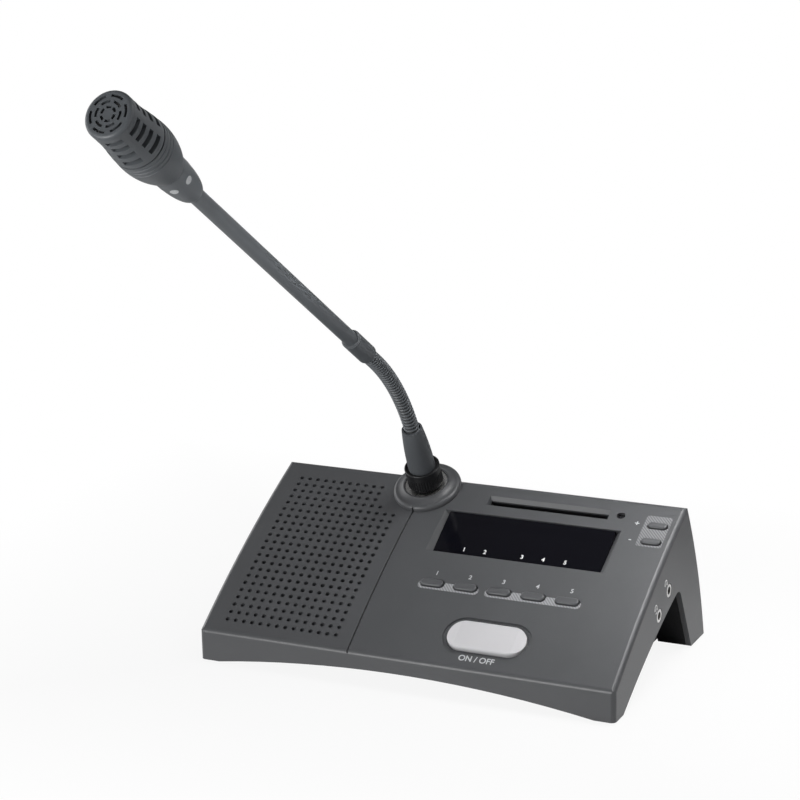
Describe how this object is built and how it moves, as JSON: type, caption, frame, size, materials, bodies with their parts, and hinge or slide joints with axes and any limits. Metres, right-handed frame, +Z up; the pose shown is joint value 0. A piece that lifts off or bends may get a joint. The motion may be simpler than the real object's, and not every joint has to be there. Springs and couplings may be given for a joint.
{
  "type": "interpreter console",
  "caption": "Desk console for a conference interpreter: sloping panel with loudspeaker grille, display, card slot and keys, and a gooseneck microphone.",
  "frame": {"origin": "on the desk, below the middle of the housing's footprint", "axes": "+X to the user's right, +Y towards the back, +Z up"},
  "size_m": [0.2, 0.2983, 0.2848],
  "materials": {
    "housing": "fine grain",
    "dark_plastic": "fine grain",
    "rubber": "matte",
    "steel": "satin",
    "cloth": "woven",
    "cone": "paper",
    "ferrite": "satin",
    "window": "gloss",
    "display": "gloss",
    "clear": "frosted",
    "board": "solder mask",
    "white_key": "frosted",
    "nickel": "nickel plate",
    "painted_tube": "satin"
  },
  "bodies": {
    "console": {"upper_housing": "housing", "base_cover": "dark_plastic", "rubber_feet": "rubber", "housing_screws": "steel", "grille_cloth": "cloth", "speaker_frame": "dark_plastic", "speaker_cone": "cone", "speaker_magnet": "ferrite", "display_window": "window", "display_module": "display", "card_reader": "dark_plastic", "status_lamp": "clear", "main_board": "board", "board_screws": "steel", "key_switches": "dark_plastic", "key_lamps": "clear", "headphone_jack": "nickel", "headset_jack": "nickel", "port_board": "board", "system_ports": "dark_plastic", "mic_socket": "nickel", "mic_plug": "nickel", "boot": "dark_plastic"},
    "channel_key_1": {"channel_key_1": "housing"},
    "channel_key_2": {"channel_key_2": "housing"},
    "channel_key_3": {"channel_key_3": "housing"},
    "channel_key_4": {"channel_key_4": "housing"},
    "channel_key_5": {"channel_key_5": "housing"},
    "step_up_key": {"step_up_key": "housing"},
    "step_down_key": {"step_down_key": "housing"},
    "mic_key": {"mic_key": "white_key"},
    "lock_ring": {"lock_ring": "dark_plastic"},
    "gooseneck": {"flex_lower": "painted_tube"},
    "microphone": {"flex_upper": "painted_tube", "collar": "painted_tube", "rod": "painted_tube", "neck": "housing", "tally_windows": "clear", "mic_shell": "housing", "mic_capsule": "nickel", "mic_cap": "housing"}
  },
  "joints": [
    {"name": "channel_key_1_press", "type": "slide", "parent": "console", "child": "channel_key_1", "axis": [0, -0.524, 0.8517], "range_m": [-0.0008, 0], "stiffness_N_per_m": 1500},
    {"name": "channel_key_2_press", "type": "slide", "parent": "console", "child": "channel_key_2", "axis": [0, -0.524, 0.8517], "range_m": [-0.0008, 0], "stiffness_N_per_m": 1500},
    {"name": "channel_key_3_press", "type": "slide", "parent": "console", "child": "channel_key_3", "axis": [0, -0.524, 0.8517], "range_m": [-0.0008, 0], "stiffness_N_per_m": 1500},
    {"name": "channel_key_4_press", "type": "slide", "parent": "console", "child": "channel_key_4", "axis": [0, -0.524, 0.8517], "range_m": [-0.0008, 0], "stiffness_N_per_m": 1500},
    {"name": "channel_key_5_press", "type": "slide", "parent": "console", "child": "channel_key_5", "axis": [0, -0.524, 0.8517], "range_m": [-0.0008, 0], "stiffness_N_per_m": 1500},
    {"name": "step_up_key_press", "type": "slide", "parent": "console", "child": "step_up_key", "axis": [0, -0.4468, 0.8946], "range_m": [-0.0008, 0], "stiffness_N_per_m": 1500},
    {"name": "step_down_key_press", "type": "slide", "parent": "console", "child": "step_down_key", "axis": [0, -0.4626, 0.8866], "range_m": [-0.0008, 0], "stiffness_N_per_m": 1500},
    {"name": "mic_key_press", "type": "slide", "parent": "console", "child": "mic_key", "axis": [0, -0.5617, 0.8273], "range_m": [-0.0008, 0], "stiffness_N_per_m": 1500},
    {"name": "lock_ring_turn", "type": "hinge", "parent": "console", "child": "lock_ring", "pos_m": [-0.0244, 0.02379, 0.06924], "axis": [0, -0.4359, 0.9], "range_deg": [0, 360]},
    {"name": "gooseneck_lower_bend", "type": "hinge", "parent": "console", "child": "gooseneck", "pos_m": [-0.0244, 0.00522, 0.10586], "axis": [1, 0, 0], "range_deg": [-45, 30], "deforming": ["flex_lower"]},
    {"name": "gooseneck_upper_bend", "type": "hinge", "parent": "gooseneck", "child": "microphone", "pos_m": [-0.0244, -0.02202, 0.13533], "axis": [1, 0, 0], "range_deg": [-45, 30], "deforming": ["flex_upper"]}
  ]
}
